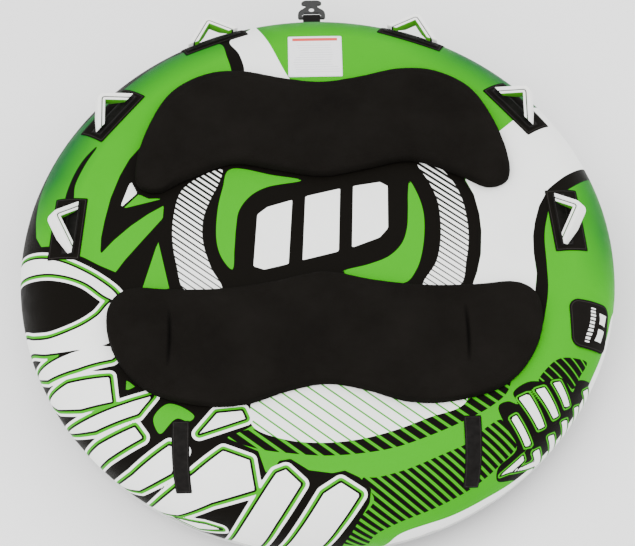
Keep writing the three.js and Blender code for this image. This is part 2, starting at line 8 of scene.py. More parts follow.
import bmesh
import bpy
import numpy as np
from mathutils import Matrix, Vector


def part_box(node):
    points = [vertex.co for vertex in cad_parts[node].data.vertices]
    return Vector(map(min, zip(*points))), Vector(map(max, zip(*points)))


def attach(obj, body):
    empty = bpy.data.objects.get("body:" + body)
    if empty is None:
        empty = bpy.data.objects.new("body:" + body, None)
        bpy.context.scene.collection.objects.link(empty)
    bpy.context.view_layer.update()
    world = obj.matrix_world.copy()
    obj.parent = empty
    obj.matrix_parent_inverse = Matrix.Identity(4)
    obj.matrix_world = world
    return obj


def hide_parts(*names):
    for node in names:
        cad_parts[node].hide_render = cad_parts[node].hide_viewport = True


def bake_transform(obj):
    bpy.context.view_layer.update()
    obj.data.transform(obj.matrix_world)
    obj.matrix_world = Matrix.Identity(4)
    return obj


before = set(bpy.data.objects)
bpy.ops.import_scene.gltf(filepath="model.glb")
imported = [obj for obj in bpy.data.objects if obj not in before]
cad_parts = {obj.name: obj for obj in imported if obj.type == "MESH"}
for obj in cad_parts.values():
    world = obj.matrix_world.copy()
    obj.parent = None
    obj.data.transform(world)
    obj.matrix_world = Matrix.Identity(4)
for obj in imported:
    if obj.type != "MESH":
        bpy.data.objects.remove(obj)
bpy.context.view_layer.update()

# ---------------------------------------------------------------- sizes
RING_RADIUS = 0.175
RING_CENTRE = 0.735
DECK_HEIGHT = 2 * RING_RADIUS
SEAM_ANGLE = -20
SEWN_LIFT = 0.0006
GAP = 0.00035
PAD_HEIGHT = 0.034
GUARD_DEPTH, GUARD_WIDTH, GUARD_THICK = 0.100, 0.216, 0.0018
WEB_THICK = 0.0022
BASE_WEB_DEPTH, BASE_WEB_WIDTH = 0.038, 0.184
HANDLE_INSET = 0.012
HANDLES = {"side": (4.2, 0.753), "mid": (37.1, 0.797), "front": (67.7, 0.860)}
GRIP_LEAN = {"side": 36, "mid": 40, "front": 46}
STRAP_SPREAD, STRAP_SHIFT = 0.411, 0.013
LABEL_PLACE = (0.006, 0.682)
GREEN = (0.031, 0.315, 0.0030, 1)
DEEP_GREEN = (0.0008, 0.085, 0.016, 1)
BLACK = (0.0042, 0.0036, 0.0028, 1)
WHITE = (0.91, 0.92, 0.90, 1)


def reach_at(angle):
    """How far along the plan the ring's surface is at an angle above its equator, in degrees."""
    return RING_CENTRE + math.radians(90 - angle) * RING_RADIUS


def polar(reach, azimuth):
    return reach * math.cos(math.radians(azimuth)), reach * math.sin(math.radians(azimuth))


VALVE_PLACE = polar(RING_CENTRE + 0.130, -19.6)


def on_cover(x, y, lift=0.0):
    """Points of the cover for plan coordinates, raised by lift along its normal."""
    x, y = np.asarray(x, float), np.asarray(y, float)
    reach = np.maximum(np.hypot(x, y), 1e-9)
    past = np.maximum(0, (reach - RING_CENTRE) / RING_RADIUS)
    flat = np.minimum(reach, RING_CENTRE)
    out = flat + np.sin(past) * (RING_RADIUS + lift)
    up = RING_RADIUS + np.cos(past) * (RING_RADIUS + lift)
    return np.stack([x / reach * out, y / reach * out, up], -1)


# ---------------------------------------------------------------- mesh helpers
def mesh_object(name, points, faces, smooth=True):
    mesh = bpy.data.meshes.new(name)
    mesh.from_pydata([tuple(p) for p in points], [], faces)
    mesh.validate()
    if smooth:
        mesh.shade_smooth()
    obj = bpy.data.objects.new(name, mesh)
    bpy.context.scene.collection.objects.link(obj)
    return obj


def give(obj, name, values):
    """A named value at each vertex, which the materials read."""
    values = np.asarray(values, dtype=np.float32)
    kind = "FLOAT" if values.ndim == 1 else "FLOAT_VECTOR"
    layer = obj.data.attributes.new(name, kind, "POINT")
    layer.data.foreach_set("value" if values.ndim == 1 else "vector", values.ravel())


def grid_faces(columns, rows):
    wide = columns + 1
    return [
        (j * wide + i, j * wide + i + 1, (j + 1) * wide + i + 1, (j + 1) * wide + i)
        for j in range(rows) for i in range(columns)
    ]


def disc_grid(count):
    """A square grid drawn out to a disc of radius 1, with cells of nearly the same size."""
    line = np.linspace(-1, 1, count + 1)
    a, b = np.meshgrid(line, line)
    wide = np.abs(a) > np.abs(b)
    safe_a = np.where(wide, a, 1)
    safe_b = np.where(wide | (b == 0), 1, b)
    radius = np.where(wide, a, b)
    angle = np.where(wide, math.pi / 4 * b / safe_a, math.pi / 2 - math.pi / 4 * a / safe_b)
    return (radius * np.cos(angle)).ravel(), (radius * np.sin(angle)).ravel()


def flat_map(obj, x, y, span):
    """A bake map that is the flat plan itself."""
    layer = obj.data.uv_layers.new(name="OFBake")
    index = np.empty(len(obj.data.loops), dtype=np.int32)
    obj.data.loops.foreach_get("vertex_index", index)
    uv = np.stack([0.5 + x[index] / span, 0.5 + y[index] / span], -1).astype(np.float32)
    layer.uv.foreach_set("vector", uv.ravel())


def curve_through(points, closed=True, steps=8):
    """A smooth line through a few points (centripetal Catmull-Rom)."""
    knots = np.asarray(points, float)
    count = len(knots)
    line = []
    for k in range(count if closed else count - 1):
        near = [(k + d) % count if closed else min(max(k + d, 0), count - 1) for d in (-1, 0, 1, 2)]
        pick = [knots[n] for n in near]
        t = [0.0]
        for p, q in zip(pick, pick[1:]):
            t.append(t[-1] + max(np.linalg.norm(q - p), 1e-6) ** 0.5)
        for u in np.linspace(t[1], t[2], steps, endpoint=False):
            first = [((t[i + 1] - u) * pick[i] + (u - t[i]) * pick[i + 1]) / (t[i + 1] - t[i])
                     for i in range(3)]
            second = [((t[i + 2] - u) * first[i] + (u - t[i]) * first[i + 1]) / (t[i + 2] - t[i])
                      for i in range(2)]
            line.append(((t[2] - u) * second[0] + (u - t[1]) * second[1]) / (t[2] - t[1]))
    if not closed:
        line.append(knots[-1])
    return np.array(line)


def distance_to(outline, x, y):
    """Signed distance from plan points to a closed outline, negative inside."""
    start = np.asarray(outline, float)
    end = np.roll(start, -1, axis=0)
    best = np.full(x.shape, 1e9)
    inside = np.zeros(x.shape, bool)
    for (ax, ay), (bx, by) in zip(start, end):
        dx, dy = bx - ax, by - ay
        size = dx * dx + dy * dy
        if size < 1e-12:
            continue
        t = np.clip(((x - ax) * dx + (y - ay) * dy) / size, 0, 1)
        best = np.minimum(best, (x - ax - t * dx) ** 2 + (y - ay - t * dy) ** 2)
        if dy:
            inside ^= ((ay > y) != (by > y)) & (x < dx * (y - ay) / dy + ax)
    return np.where(inside, -1, 1) * np.sqrt(best)


def union(shapes, x, y):
    """Signed distance to several outlines in millimetres; a shape starting with True is curved."""
    found = np.full(x.shape, 1.0)
    for shape in shapes:
        curved = shape[0] is True
        points = np.array(shape[1:] if curved else shape, float) / 1000
        line = curve_through(points) if curved else points
        found = np.minimum(found, distance_to(line, x, y))
    return found


# ---------------------------------------------------------------- material helpers
class Paint:
    """One node material, built up by calls that return sockets."""

    def __init__(self, name, roughness=0.5, **shader):
        self.material = bpy.data.materials.new(name)
        self.material.use_nodes = True
        self.tree = self.material.node_tree
        self.shader = self.tree.nodes["Principled BSDF"]
        self.shader.inputs["Roughness"].default_value = roughness
        for key, value in shader.items():
            self.shader.inputs[key.replace("_", " ")].default_value = value

    def node(self, kind, **settings):
        node = self.tree.nodes.new(kind)
        for key, value in settings.items():
            setattr(node, key, value)
        return node

    def put(self, socket, value):
        if isinstance(value, bpy.types.NodeSocket):
            self.tree.links.new(value, socket)
        elif value is not None:
            socket.default_value = value

    def math(self, operation, a, b=None, c=None, clamp=False):
        node = self.node("ShaderNodeMath", operation=operation, use_clamp=clamp)
        for socket, value in zip(node.inputs, (a, b, c)):
            self.put(socket, value)
        return node.outputs[0]

    def attribute(self, name, output="Fac"):
        return self.node("ShaderNodeAttribute", attribute_name=name).outputs[output]

    def apart(self, vector):
        node = self.node("ShaderNodeSeparateXYZ")
        self.put(node.inputs[0], vector)
        return node.outputs

    def place(self):
        return self.node("ShaderNodeTexCoord").outputs["Object"]

    def noise(self, scale, detail=3, vector=None, roughness=0.5):
        node = self.node("ShaderNodeTexNoise")
        self.put(node.inputs["Vector"], self.place() if vector is None else vector)
        node.inputs["Scale"].default_value = scale
        node.inputs["Detail"].default_value = detail
        node.inputs["Roughness"].default_value = roughness
        return node.outputs["Fac"]

    def inside(self, distance, edge=0.0, soft=0.0008):
        """1 where the distance is under edge, 0 past it."""
        return self.math("MULTIPLY_ADD", distance, -1 / soft, 0.5 + edge / soft, clamp=True)

    def span(self, value, low, high, to_low=0.0, to_high=1.0):
        node = self.node("ShaderNodeMapRange")
        for socket, number in zip(node.inputs, (value, low, high, to_low, to_high)):
            self.put(socket, number)
        return node.outputs[0]

    def mix(self, factor, a, b):
        node = self.node("ShaderNodeMix", data_type="RGBA")
        self.put(node.inputs[0], factor)
        self.put(node.inputs[6], a)
        self.put(node.inputs[7], b)
        return node.outputs[2]

    def stripes(self, value, pitch, share):
        """1 on stripes that take a share of each pitch."""
        phase = self.math("FRACT", self.math("DIVIDE", value, pitch))
        off = self.math("ABSOLUTE", self.math("SUBTRACT", phase, 0.5))
        if isinstance(share, bpy.types.NodeSocket):
            off = self.math("MULTIPLY_ADD", share, -0.5, off)
            return self.inside(off, 0, 0.0012 / pitch)
        return self.inside(off, share / 2, 0.0012 / pitch)

    def waves(self, value, pitch):
        return self.math("SINE", self.math("MULTIPLY", value, 2 * math.pi / pitch))

    def finish(self, color=None, rough=None, height=None, distance=0.0004, strength=0.6):
        if color is not None:
            self.put(self.shader.inputs["Base Color"], color)
        if rough is not None:
            self.put(self.shader.inputs["Roughness"], rough)
        if height is not None:
            bump = self.node("ShaderNodeBump")
            bump.inputs["Strength"].default_value = strength
            bump.inputs["Distance"].default_value = distance
            self.put(bump.inputs["Height"], height)
            self.put(self.shader.inputs["Normal"], bump.outputs[0])
        return self.material

    def weave(self, pitch=0.0011, vector=None):
        """Plain weave: threads of two directions, over and under."""
        x, y, z = self.apart(self.place() if vector is None else vector)
        flat = self.math("ADD", x, self.math("MULTIPLY", z, 0.7))
        side = self.math("ADD", y, self.math("MULTIPLY", z, 0.7))
        return self.math("MULTIPLY", self.waves(flat, pitch), self.waves(side, pitch))

    def stitches(self, inset, pitch=0.0042, width=0.0011):
        """1 on a dashed line that runs inside a patch's edge."""
        off = self.math("ABSOLUTE", self.math("ADD", self.attribute("edge"), inset))
        line = self.inside(off, width / 2, 0.0005)
        return self.math("MULTIPLY", line, self.stripes(self.attribute("run"), pitch, 0.72))


def dirt(paint, color, amount=0.12, scale=7):
    """Colour with faint uneven darkening, as on used fabric."""
    spots = paint.span(paint.noise(scale, 5), 0.35, 0.75, 0.0, amount)
    return paint.mix(spots, color, tuple(0.72 * c for c in color[:3]) + (1,))


def tinted(paint, color, factor, shade=0.75):
    """A linked colour multiplied down where factor is 1."""
    node = paint.node("ShaderNodeMix", data_type="RGBA", blend_type="MULTIPLY")
    paint.put(node.inputs[0], factor)
    paint.put(node.inputs[6], color)
    node.inputs[7].default_value = (shade, shade, shade, 1)
    return node.outputs[2]


# ---------------------------------------------------------------- the print, in millimetres on the flat plan
BLACK_SHAPES = [
    # the dark field between the pads, and all of the rear left
    [(-573, 300), (-600, 240), (-625, 160), (-640, 80), (-648, 20), (-648, -38), (-610, 10), (-560, 60),
     (-510, 100), (-463, 130), (-465, 85), (-530, 0), (-575, -60), (-600, -100), (-650, -75), (-695, -48),
     (-760, -20), (-800, 0), (-835, 8), (-860, 50), (-872, 120), (-876, 190), (-870, 250), (-860, 300),
     (-835, 370), (-800, 430), (-750, 480), (-680, 545), (-600, 610), (-540, 670), (-470, 725), (-400, 748),
     (-390, 900), (-1000, 900), (-1100, 0),
     (-1100, -1100), (30, -1100), (60, -980), (95, -900), (128, -840), (132, -800), (100, -768), (60, -748),
     (25, -755), (-40, -745), (-90, -710), (-122, -715), (-142, -748), (-160, -748), (-180, -685),
     (-270, -642),
     (-215, -618), (-186, -600), (-190, -560), (-100, -500), (380, -500), (640, -300), (632, -200),
     (455, -160),
     (470, -120), (485, -60), (492, 20), (490, 80), (478, 150), (455, 200), (440, 330), (-500, 400)],
    # the band that bounds the white field on the right
    [True, (990, 395), (850, 287), (760, 215), (705, 165), (672, 105), (655, 50), (645, 0), (642, -60),
     (645, -130), (633, -205), (625, -300), (642, -312), (662, -250), (675, -180), (678, -100), (680, 0),
     (692, 60), (715, 125), (775, 172), (870, 250), (990, 340)],
    # the short band beside the front left handle
    [True, (-300, 750), (-275, 685), (-260, 625), (-258, 560), (-212, 560), (-218, 640), (-236, 700),
     (-268, 757), (-215, 830), (-235, 930), (-420, 880), (-410, 740)],
    # a thin spike left of the front pad
    [True, (-668, 358), (-705, 290), (-735, 210), (-740, 150), (-762, 150), (-752, 220), (-715, 305)],
    # the ground under the short marks on the right
    [True, (500, -560), (530, -545), (560, -555), (545, -520), (590, -485), (640, -480), (700, -465),
     (745, -500),
     (760, -465), (830, -460), (900, -480), (960, -560), (800, -800), (660, -900), (610, -850), (600, -790),
     (515, -780), (505, -740), (560, -680), (520, -620)],
]
GREEN_SHAPES = [
    [True, (-265, 256), (-285, 190), (-300, 110), (-302, 0), (-285, -60), (-255, -98), (-249, -30),
     (-244, 50),
     (-235, 108), (-200, 160), (-150, 190), (-45, 212), (-130, 232)],
    [True, (285, 202), (305, 160), (320, 100), (322, 40), (310, -50), (290, -110), (255, -153), (150, -140),
     (72, -112), (150, -88), (210, -62), (250, -20), (268, 30), (275, 100), (278, 160)],
    [(-520, -160), (-477, 5), (-440, -160)],
    [(-585, 122), (-540, 172), (-510, 155), (-460, 156)],
    [(-556, -455), (-530, -478), (-556, -490)],
    [True, (-475, -575), (-440, -535), (-405, -540), (-360, -575), (-375, -590), (-410, -580), (-455, -625),
     (-468, -610)],
    [(462, 190), (480, 150), (484, 182)],
]
WHITE_SHAPES = [
    [(455, 205), (478, 150), (490, 80), (492, 20), (485, -60), (470, -120), (455, -160), (455, -300),
     (625, -300),
     (633, -205), (645, -130), (642, -60), (645, 0), (655, 50), (672, 105), (705, 165), (760, 215),
     (850, 287),
     (990, 395), (900, 600), (780, 620), (740, 545), (615, 418), (560, 370), (500, 300)],
    [True, (-268, 757), (-236, 695), (-220, 640), (-216, 560), (-50, 560), (-78, 598), (-130, 715),
     (-182, 835),
     (-196, 930), (-240, 930), (-205, 840)],
    [(-566, 222), (-596, 122), (-545, 176)],
    [True, (215, -1100), (212, -985), (235, -950), (400, -892), (500, -842), (600, -785), (700, -700),
     (790, -570), (840, -450), (875, -380), (905, -300), (935, -225), (990, -200), (1150, -500),
     (900, -1100)],
    # three slanted bars in the middle
    [(-192, -88), (-160, -100), (-88, -82), (-74, 142), (-150, 118), (-180, 92)],
    [(-46, -70), (62, -42), (72, 180), (-34, 154)],
    [(102, -30), (186, 4), (212, 36), (217, 186), (194, 201), (112, 188)],
]
# Angular marks with an outline of their own: white, then black, green and white lines round it.
MARKS = [
    [True, (-1080, 22), (-980, 0), (-880, -22), (-800, -46), (-720, -82), (-655, -122), (-598, -172),
     (-585, -200),
     (-625, -182), (-690, -132), (-780, -98), (-870, -78), (-960, -62), (-1080, -44)],
    [True, (-1080, -262), (-950, -262), (-870, -288), (-790, -302), (-705, -284), (-648, -246), (-606, -200),
     (-560, -260), (-600, -330), (-700, -352), (-810, -345), (-900, -322), (-1080, -300)],
    [(-940, -400), (-790, -372), (-640, -345), (-560, -350), (-600, -388), (-700, -408), (-830, -420)],
    [(-900, -490), (-740, -448), (-606, -446), (-596, -520), (-700, -528), (-820, -515)],
    [(-850, -600), (-700, -566), (-560, -532), (-480, -508), (-520, -562), (-660, -596)],
    [(-800, -700), (-660, -640), (-530, -600), (-508, -632), (-640, -684), (-740, -730)],
    [(-690, -800), (-560, -738), (-430, -660), (-390, -680), (-430, -738), (-560, -792)],
    [(-600, -900), (-480, -818), (-360, -742), (-278, -682), (-205, -712), (-192, -796), (-320, -828),
     (-450, -880)],
    [(-330, -1040), (-235, -900), (-130, -752), (-104, -742), (-62, -784), (-140, -900), (-230, -1050)],
    [(-150, -1050), (-70, -920), (0, -812), (48, -782), (100, -816), (40, -910), (-40, -1050)],
    [(-345, -628), (-296, -566), (-226, -560), (-216, -584)],
    [(-470, -900), (-360, -908), (-310, -925), (-400, -940)],
]
SMALL_MARKS = [
    [(535, -595), (552, -585), (612, -668), (590, -672)],
    [(560, -535), (590, -520), (650, -610), (628, -620)],
    [(612, -508), (640, -498), (700, -575), (680, -585)],
    [(668, -482), (692, -476), (742, -540), (722, -548)],
    [(520, -762), (588, -700), (600, -716), (560, -752), (700, -742), (690, -722), (640, -726)],
    [(625, -690), (650, -680), (715, -745), (690, -755)],
    [(675, -640), (700, -632), (775, -705), (750, -715)],
    [(722, -592), (748, -584), (820, -655), (795, -665)],
    [(772, -545), (798, -538), (862, -600), (838, -610)],
    [(800, -492), (830, -480), (905, -530), (880, -545)],
]
# Zones that are filled with slanted lines.
PALE_HATCH = [
    [True, (-288, 256), (-360, 228), (-410, 182), (-430, 110), (-435, 20), (-420, -80), (-393, -165),
     (-286, -165),
     (-318, -90), (-343, 0), (-343, 80), (-322, 150), (-300, 200)],
    [True, (313, 268), (345, 195), (366, 130), (371, 50), (366, -20), (350, -85), (308, -165), (415, -165),
     (440, -80), (452, 0), (450, 75), (438, 145), (410, 210), (365, 262)],
]
LIME_HATCH = [
    [True, (-185, -500), (-202, -590), (-186, -618), (-100, -652), (0, -663), (100, -655), (200, -630),
     (300, -592),
     (410, -545), (420, -400), (0, -380)],
]
RING_HATCH = [
    [True, (-272, -640), (-186, -618), (-100, -652), (0, -663), (100, -655), (200, -630), (300, -592),
     (400, -552),
     (470, -490), (540, -470), (530, -515), (480, -560), (400, -604), (300, -648), (200, -682), (100, -698),
     (0, -702), (-100, -692), (-180, -678)],
]
BAND_HATCH = [
    [True, (105, -772), (150, -768), (235, -745), (330, -705), (410, -668), (470, -618), (510, -600),
     (560, -665),
     (500, -740), (430, -800), (330, -856), (210, -908), (150, -950), (130, -1000), (50, -970), (95, -890),
     (140, -830)],
]
SIDE_HATCH = [
    [True, (622, -482), (650, -440), (690, -408), (745, -400), (795, -406), (770, -450), (745, -492),
     (700, -468)],
]


def paint_cover():
    paint = Paint("printed_nylon", roughness=0.45, Specular_IOR_Level=0.02)
    x, y, _ = paint.apart(paint.attribute("plan", "Vector"))
    slant = paint.math("MULTIPLY_ADD", y, 0.781, paint.math("MULTIPLY", x, 0.625))
    color = paint.mix(paint.attribute("shade"), GREEN, DEEP_GREEN)
    for name, pitch, share in (("ring_hatch", 0.029, 0.70), ("band_hatch", 0.021, 0.60),
                               ("side_hatch", 0.024, 0.80)):
        zone = paint.inside(paint.attribute(name))
        color = paint.mix(paint.math("MULTIPLY", zone, paint.stripes(slant, pitch, share)), color, BLACK)
    color = paint.mix(paint.inside(paint.attribute("black")), color, BLACK)
    color = paint.mix(paint.inside(paint.attribute("green")), color, GREEN)
    color = paint.mix(paint.inside(paint.attribute("white")), color, WHITE)
    fine = paint.mix(paint.stripes(slant, 0.0165, paint.span(y, -0.15, 0.25, 0.22, 0.52)), WHITE, BLACK)
    color = paint.mix(paint.inside(paint.attribute("pale_hatch")), color, fine)
    lime = paint.mix(paint.stripes(slant, 0.030, 0.17), WHITE, GREEN)
    color = paint.mix(paint.inside(paint.attribute("lime_hatch")), color, lime)
    for name, bands in (("marks", ((0.022, WHITE), (0.0135, GREEN), (0.006, BLACK), (0.0, WHITE))),
                        ("small_marks", ((0.009, GREEN), (0.0045, BLACK), (0.0, WHITE)))):
        distance = paint.attribute(name)
        for edge, ink in bands:
            color = paint.mix(paint.inside(distance, edge), color, ink)
    worn = paint.span(paint.noise(5, 6, roughness=0.6), 0.45, 0.8, 0.0, 0.35)
    color = tinted(paint, color, worn, 0.86)
    rough = paint.span(paint.noise(24, 4), 0.3, 0.7, 0.36, 0.5)
    threads = paint.math("MULTIPLY", paint.weave(0.0012), 0.12)
    creases = paint.math("MULTIPLY", paint.noise(16, 4, roughness=0.55), 2.2)
    return paint.finish(color, rough, paint.math("ADD", threads, creases), 0.0011, 0.55)


def paint_plain(name, color, roughness=0.5, pitch=0.0012, crease=1.6, gloss=0.08):
    """Plain woven or knitted fabric."""
    paint = Paint(name, roughness, Specular_IOR_Level=gloss)
    tone = dirt(paint, color, 0.5, 9)
    rough = paint.span(paint.noise(30, 4), 0.3, 0.7, roughness - 0.07, roughness + 0.07)
    threads = paint.math("MULTIPLY", paint.weave(pitch), 0.15)
    creases = paint.math("MULTIPLY", paint.noise(18, 4), crease)
    return paint.finish(tone, rough, paint.math("ADD", threads, creases), 0.001, 0.5)


def paint_neoprene(name, stitched=False):
    """Matt black knit over rubber foam, with a fine jersey grain."""
    paint = Paint(name, 0.82, Specular_IOR_Level=0.03)
    grain = paint.noise(900, 2)
    tone = paint.mix(paint.span(paint.noise(6, 5), 0.35, 0.7),
                     (0.0030, 0.0025, 0.0020, 1), (0.0054, 0.0046, 0.0038, 1))
    tone = paint.mix(paint.span(grain, 0.35, 0.65, 0, 0.35), tone, (0.0105, 0.0092, 0.008, 1))
    height = paint.math("ADD", paint.math("MULTIPLY", grain, 0.3),
                        paint.math("MULTIPLY", paint.noise(22, 3), 0.9))
    # Painted shade: the neoprene turns darker along the sewn creases, where shade falls in the fold.
    tone = paint.mix(paint.attribute("painted_crease_shade"), tone, (0.0015, 0.0013, 0.0011, 1))
    if stitched:
        thread = paint.stitches(0.006)
        tone = paint.mix(thread, tone, (0.045, 0.042, 0.039, 1))
        height = paint.math("ADD", height, thread)
    rough = paint.span(paint.noise(40, 3), 0.3, 0.7, 0.76, 0.9)
    return paint.finish(tone, rough, height, 0.0007, 0.6)


def paint_webbing(name="black_webbing", color=(0.0052, 0.0047, 0.0044, 1)):
    """Polyester webbing: ribs across it, a woven grain and a row of stitches inside each edge."""
    paint = Paint(name, 0.62, Specular_IOR_Level=0.04)
    local = paint.attribute("local", "Vector")
    along, across, _ = paint.apart(local)
    ribs = paint.math("MULTIPLY", paint.waves(along, 0.0021), paint.waves(across, 0.0034))
    thread = paint.stitches(0.005)
    lighter = tuple(1.7 * c for c in color[:3]) + (1,)
    tone = paint.mix(paint.span(paint.noise(60, 4), 0.35, 0.7), color, lighter)
    tone = paint.mix(thread, tone, (0.030, 0.028, 0.027, 1))
    height = paint.math("ADD", paint.math("MULTIPLY", ribs, 0.5), paint.math("MULTIPLY", thread, 0.8))
    return paint.finish(tone, paint.span(paint.noise(80, 3), 0.3, 0.7, 0.55, 0.7), height, 0.0006, 0.6)


def paint_foam(name, color, soiled=0.3):
    """Closed-cell foam: a fine skin of cells, soft dents and a little soiling."""
    paint = Paint(name, 0.7, Specular_IOR_Level=0.3)
    cells = paint.node("ShaderNodeTexVoronoi")
    paint.put(cells.inputs["Vector"], paint.place())
    cells.inputs["Scale"].default_value = 1400
    tone = dirt(paint, color, soiled, 26)
    height = paint.math("ADD", paint.math("MULTIPLY", cells.outputs["Distance"], 0.35),
                        paint.math("MULTIPLY", paint.noise(70, 4), 1.3))
    return paint.finish(tone, paint.span(paint.noise(50, 3), 0.3, 0.7, 0.6, 0.8), height, 0.0006, 0.5)


def paint_moulded(name, color, roughness, metallic=0.0, grain=260):
    """Moulded plastic or cast and brushed metal."""
    paint = Paint(name, roughness, Metallic=metallic)
    tone = dirt(paint, color, 0.45, 60)
    rough = paint.span(paint.noise(grain, 3), 0.3, 0.7, roughness - 0.06, roughness + 0.08)
    return paint.finish(tone, rough, paint.noise(grain * 3, 2), 0.00015, 0.4)


def paint_label():
    """White sewn label: a red bar along its top and plain thin bars below it."""
    paint = Paint("label_cloth", 0.55)
    along, across, _ = paint.apart(paint.attribute("local", "Vector"))
    wide = paint.inside(paint.math("ABSOLUTE", across), 0.072)
    red = paint.inside(paint.math("ABSOLUTE", paint.math("SUBTRACT", along, 0.0665)), 0.006)
    red = paint.math("MULTIPLY", red, wide)
    rows = paint.stripes(along, 0.0095, 0.3)
    body = paint.inside(paint.math("ABSOLUTE", paint.math("ADD", along, 0.008)), 0.060)
    ends = paint.inside(paint.math("ADD", paint.math("ABSOLUTE", across),
                                   paint.math("MULTIPLY", paint.noise(21, 0), 0.05)), 0.085)
    lines = paint.math("MULTIPLY", paint.math("MULTIPLY", rows, body), ends)
    color = paint.mix(paint.math("MULTIPLY", lines, 0.30), (0.84, 0.84, 0.86, 1), (0.25, 0.25, 0.30, 1))
    color = paint.mix(red, color, (0.62, 0.045, 0.03, 1))
    thread = paint.stitches(0.004)
    color = paint.mix(thread, color, (0.7, 0.7, 0.7, 1))
    height = paint.math("ADD", paint.math("MULTIPLY", paint.weave(0.0009), 0.2), thread)
    return paint.finish(color, paint.span(paint.noise(60, 3), 0.3, 0.7, 0.48, 0.62), height, 0.0005, 0.5)


def paint_flap():
    """Black neoprene with two plain columns of white bars and a pale edge."""
    paint = Paint("flap_neoprene", 0.78, Specular_IOR_Level=0.03)
    along, across, _ = paint.apart(paint.attribute("local", "Vector"))
    leaning = paint.math("MULTIPLY_ADD", across, -0.25, along)
    ink = None
    for centre, half, pitch, share in ((-0.010, 0.0085, 0.012, 0.6), (0.034, 0.017, 0.052, 0.7)):
        column = paint.inside(paint.math("ABSOLUTE", paint.math("SUBTRACT", leaning, centre)), half)
        bars = paint.math("MULTIPLY", column, paint.stripes(across, pitch, share))
        ink = bars if ink is None else paint.math("MAXIMUM", ink, bars)
    ink = paint.math("MULTIPLY", ink, paint.inside(paint.math("ABSOLUTE", across), 0.055))
    grain = paint.noise(900, 2)
    tone = paint.mix(grain, (0.0040, 0.0035, 0.0030, 1), (0.0080, 0.0070, 0.0060, 1))
    rim = paint.inside(paint.math("ABSOLUTE", paint.math("ADD", paint.attribute("edge"), 0.0065)), 0.0009)
    tone = paint.mix(rim, tone, (0.022, 0.020, 0.018, 1))
    tone = paint.mix(paint.math("MULTIPLY", ink, 0.92), tone, WHITE)
    height = paint.math("ADD", paint.math("MULTIPLY", grain, 0.3), paint.math("MULTIPLY", ink, 0.3))
    return paint.finish(tone, paint.span(paint.noise(40, 3), 0.3, 0.7, 0.7, 0.86), height, 0.0006, 0.5)


PAINTS = {
    "cover": paint_cover(),
    "base": paint_plain("base_nylon", (0.0075, 0.0075, 0.0075, 1), 0.5),
    "welt": paint_plain("welt_cloth", (0.62, 0.63, 0.62, 1), 0.55, 0.0015, 0.8),
    "vinyl": paint_moulded("welded_vinyl", (0.035, 0.038, 0.042, 1), 0.4),
    "pad": paint_neoprene("pad_neoprene"),
    "guard": paint_neoprene("guard_neoprene", stitched=True),
    "flap": paint_flap(),
    "white_foam": paint_foam("white_foam", (0.90, 0.90, 0.88, 1), 0.15),
    "green_foam": paint_foam("green_foam", (0.062, 0.365, 0.007, 1)),
    "label": paint_label(),
    "brass": paint_moulded("aged_brass", (0.42, 0.30, 0.13, 1), 0.35, 1.0),
    "aluminium": paint_moulded("satin_aluminium", (0.60, 0.61, 0.63, 1), 0.35, 1.0),
    "plastic": paint_moulded("black_plastic", (0.008, 0.008, 0.008, 1), 0.38),
    "tape": paint_plain("zip_tape", (0.009, 0.009, 0.0095, 1), 0.6, 0.0009, 0.4),
    "webbing": paint_webbing(),
    "handle_web": paint_plain("handle_webbing", (0.0056, 0.0050, 0.0047, 1), 0.62, 0.0021, 0.3),
}


def dress(obj, paint):
    obj.data.materials.clear()
    obj.data.materials.append(PAINTS[paint])
    return obj


# ---------------------------------------------------------------- the sewn cover
def gathers(azimuth, below):
    """Depth of the small tucks that a curved seam pulls in; below is the distance up from the seam."""
    turn = np.sin(61 * azimuth + 1.1) + 0.7 * np.sin(97 * azimuth + 0.4) + 0.5 * np.sin(37 * azimuth + 2.3)
    turn = turn / 2.2
    near = np.exp(-below / 0.030)
    wide = np.exp(-below / 0.085)
    slow = (np.sin(23 * azimuth + 0.7) + np.sin(31 * azimuth + 2.9)) / 2
    return -(0.0030 * (1 + turn) * near + 0.0018 * (1 + slow) * wide) * 0.5


def make_cover():
    count = 306
    full = reach_at(SEAM_ANGLE)
    x, y = (full * v for v in disc_grid(count))
    reach, azimuth = np.hypot(x, y), np.arctan2(y, x)
    lift = gathers(azimuth, full - reach) * np.clip((reach - 0.90) / 0.05, 0, 1)
    lift -= 0.003 * np.clip((reach - full + 0.004) / 0.004, 0, 1)
    cover = mesh_object("printed_cover", on_cover(x, y, lift), grid_faces(count, count))
    flat_map(cover, x, y, 2 * full * 1.004)
    give(cover, "plan", np.stack([x, y, 0 * x], -1))
    for name, shapes in (("black", BLACK_SHAPES), ("green", GREEN_SHAPES), ("white", WHITE_SHAPES),
                         ("marks", MARKS), ("small_marks", SMALL_MARKS), ("pale_hatch", PALE_HATCH),
                         ("lime_hatch", LIME_HATCH), ("ring_hatch", RING_HATCH), ("band_hatch", BAND_HATCH),
                         ("side_hatch", SIDE_HATCH)):
        give(cover, name, union(shapes, x, y))
    turn = np.degrees(azimuth)
    window = lambda low, high, soft: np.clip((turn - low) / soft, 0, 1) * np.clip((high - turn) / soft, 0, 1)
    rim = np.clip((reach - 0.735) / 0.13, 0, 1)
    brim = 0.75 * np.clip((reach - 0.77) / 0.11, 0, 1) * window(-12, 110, 14)
    give(cover, "shade", np.maximum(rim * np.maximum(window(92, 178, 16), window(20, 72, 16)), brim))
    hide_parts("cover_top")
    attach(dress(cover, "cover"), "tube")


